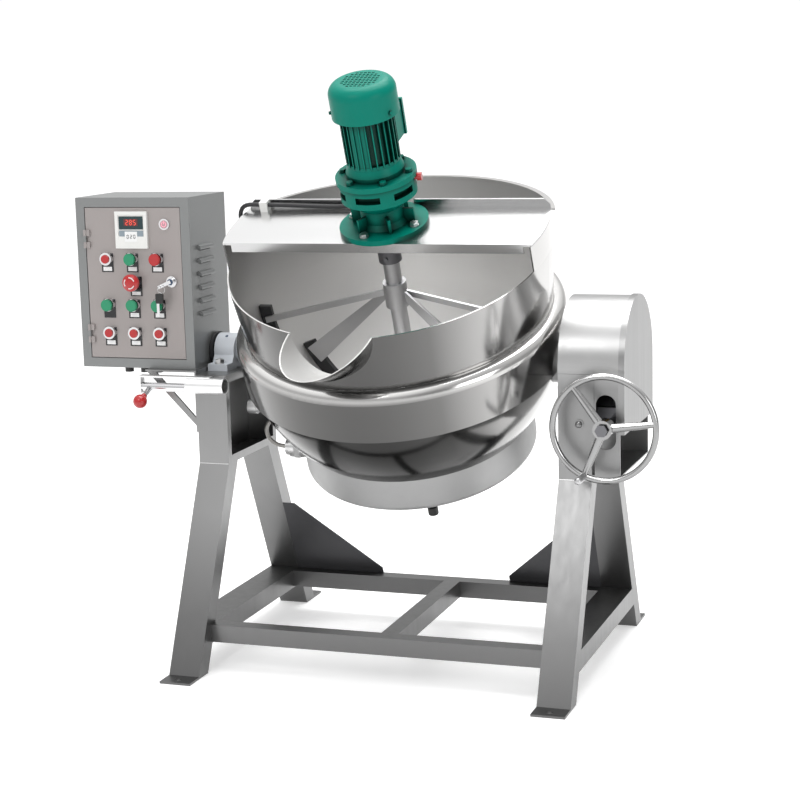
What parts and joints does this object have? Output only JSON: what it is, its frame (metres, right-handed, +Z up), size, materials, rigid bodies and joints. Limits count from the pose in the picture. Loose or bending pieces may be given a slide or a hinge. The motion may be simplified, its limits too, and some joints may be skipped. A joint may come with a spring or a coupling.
{
  "type": "tilting cooking kettle",
  "caption": "Tilting electric jacketed kettle for cooking sugar, with a motor-driven agitator, control cabinet, stainless stand and handwheel.",
  "frame": {"origin": "on the floor, at the centre of the four floor bolts", "axes": "+X from the cabinet side to the handwheel side, +Y from the front with the spout to the back, +Z up"},
  "size_m": [1.402, 0.9649, 1.3496],
  "materials": {
    "brushed_stainless": "brushed",
    "dark_plate": "satin",
    "bearing_paint": "satin",
    "zinc_steel": "satin",
    "black_rubber": "matte",
    "machined_iron": "machined",
    "bronze": "machined",
    "cabinet_steel": "satin",
    "black_plastic": "matte",
    "polished_stainless": "polished",
    "satin_stainless": "satin",
    "element_sheath": "satin",
    "green_paint": "gloss",
    "red_plastic": "gloss",
    "green_plastic": "gloss",
    "white_plastic": "matte",
    "cast_aluminium": "satin",
    "chrome": "polished",
    "door_paint": "satin"
  },
  "bodies": {
    "stand": {"left_a_frame": "brushed_stainless", "right_a_frame": "brushed_stainless", "base_frame": "brushed_stainless", "rear_gussets": "dark_plate", "trunnion_bearings": "bearing_paint", "bearing_bolts": "zinc_steel", "bearing_cap": "black_rubber", "gear_case": "brushed_stainless", "gear_side_cover": "brushed_stainless", "gear_front_cover": "brushed_stainless", "worm_bearings": "machined_iron", "cabinet_shell": "cabinet_steel", "control_gear": "zinc_steel", "cabinet_bracket": "brushed_stainless", "cabinet_glands": "black_plastic", "lock_sleeve": "brushed_stainless"},
    "pot": {"inner_bowl": "polished_stainless", "pouring_spout": "polished_stainless", "outer_jacket": "polished_stainless", "heater_drum": "satin_stainless", "heating_elements": "element_sheath", "jacket_plugs": "zinc_steel", "heater_fitting": "zinc_steel", "heater_conduit": "element_sheath", "left_trunnion": "brushed_stainless", "right_trunnion": "brushed_stainless", "worm_wheel": "bronze", "bridge_plate": "polished_stainless", "gearbox_housing": "green_paint", "gearbox_cover": "green_paint", "motor_frame": "green_paint", "fan_cowl": "green_paint", "gearbox_bolts": "zinc_steel", "vent_plug": "red_plastic", "terminal_box": "green_paint", "motor_lead": "black_rubber", "lead_clips": "white_plastic"},
    "agitator": {"agitator_shaft": "brushed_stainless", "shaft_coupling": "machined_iron", "scraper_arms": "polished_stainless", "scraper_blades": "black_rubber"},
    "rotor": {"motor_rotor": "machined_iron"},
    "handwheel": {"handwheel": "cast_aluminium", "worm_shaft": "machined_iron"},
    "grip": {"wheel_grip": "cast_aluminium"},
    "door": {"door_panel": "door_paint", "button_collars": "chrome", "temperature_controller": "white_plastic"},
    "lock_cam": {"door_lock": "chrome"},
    "stop": {"stop_button": "red_plastic"},
    "lock_bolt": {"lock_bolt": "chrome"},
    "button_1": {"button_1": "red_plastic"},
    "button_2": {"button_2": "green_plastic"},
    "button_3": {"button_3": "red_plastic"},
    "button_4": {"button_4": "green_plastic"},
    "button_5": {"button_5": "green_plastic"},
    "button_6": {"button_6": "green_plastic"},
    "button_7": {"button_7": "red_plastic"},
    "button_8": {"button_8": "red_plastic"},
    "button_9": {"button_9": "red_plastic"}
  },
  "joints": [
    {"name": "pot_tilt", "type": "hinge", "parent": "stand", "child": "pot", "pos_m": [0, 0, 0.702], "axis": [1, 0, 0], "range_deg": [-22, 68]},
    {"name": "agitator_spin", "type": "hinge", "parent": "pot", "child": "agitator", "pos_m": [0, 0, 0.702], "axis": [0, -0.3746, 0.9272], "continuous": true},
    {"name": "rotor_spin", "type": "hinge", "parent": "pot", "child": "rotor", "pos_m": [0, 0, 0.702], "axis": [0, -0.3746, 0.9272], "continuous": true},
    {"name": "handwheel_turn", "type": "hinge", "parent": "stand", "child": "handwheel", "pos_m": [0.51, 0, 0.582], "axis": [0, -1, 0], "range_deg": [-860, 2655]},
    {"name": "grip_spin", "type": "hinge", "parent": "handwheel", "child": "grip", "pos_m": [0.46585, -0.24, 0.47798], "axis": [0, -1, 0], "continuous": true},
    {"name": "door_swing", "type": "hinge", "parent": "stand", "child": "door", "pos_m": [-0.749, -0.124, 0.87], "axis": [0, 0, -1], "range_deg": [0, 110]},
    {"name": "lock_turn", "type": "hinge", "parent": "door", "child": "lock_cam", "pos_m": [-0.53, -0.119, 0.877], "axis": [0, -1, 0], "range_deg": [0, 90]},
    {"name": "stop_push", "type": "slide", "parent": "door", "child": "stop", "axis": [0, 1, 0], "range_m": [0, 0.004], "stiffness_N_per_m": 600},
    {"name": "lock_slide", "type": "slide", "parent": "stand", "child": "lock_bolt", "axis": [1, 0, 0], "range_m": [0, 0.04]},
    {"name": "push_1", "type": "slide", "parent": "door", "child": "button_1", "axis": [0, 1, 0], "range_m": [0, 0.003], "stiffness_N_per_m": 400},
    {"name": "push_2", "type": "slide", "parent": "door", "child": "button_2", "axis": [0, 1, 0], "range_m": [0, 0.003], "stiffness_N_per_m": 400},
    {"name": "push_3", "type": "slide", "parent": "door", "child": "button_3", "axis": [0, 1, 0], "range_m": [0, 0.003], "stiffness_N_per_m": 400},
    {"name": "push_4", "type": "slide", "parent": "door", "child": "button_4", "axis": [0, 1, 0], "range_m": [0, 0.003], "stiffness_N_per_m": 400},
    {"name": "push_5", "type": "slide", "parent": "door", "child": "button_5", "axis": [0, 1, 0], "range_m": [0, 0.003], "stiffness_N_per_m": 400},
    {"name": "push_6", "type": "slide", "parent": "door", "child": "button_6", "axis": [0, 1, 0], "range_m": [0, 0.003], "stiffness_N_per_m": 400},
    {"name": "push_7", "type": "slide", "parent": "door", "child": "button_7", "axis": [0, 1, 0], "range_m": [0, 0.003], "stiffness_N_per_m": 400},
    {"name": "push_8", "type": "slide", "parent": "door", "child": "button_8", "axis": [0, 1, 0], "range_m": [0, 0.003], "stiffness_N_per_m": 400},
    {"name": "push_9", "type": "slide", "parent": "door", "child": "button_9", "axis": [0, 1, 0], "range_m": [0, 0.003], "stiffness_N_per_m": 400}
  ],
  "couplings": [
    {"joint": "handwheel_turn", "follows": "pot_tilt", "ratio": 39},
    {"joint": "rotor_spin", "follows": "agitator_spin", "ratio": -29}
  ]
}
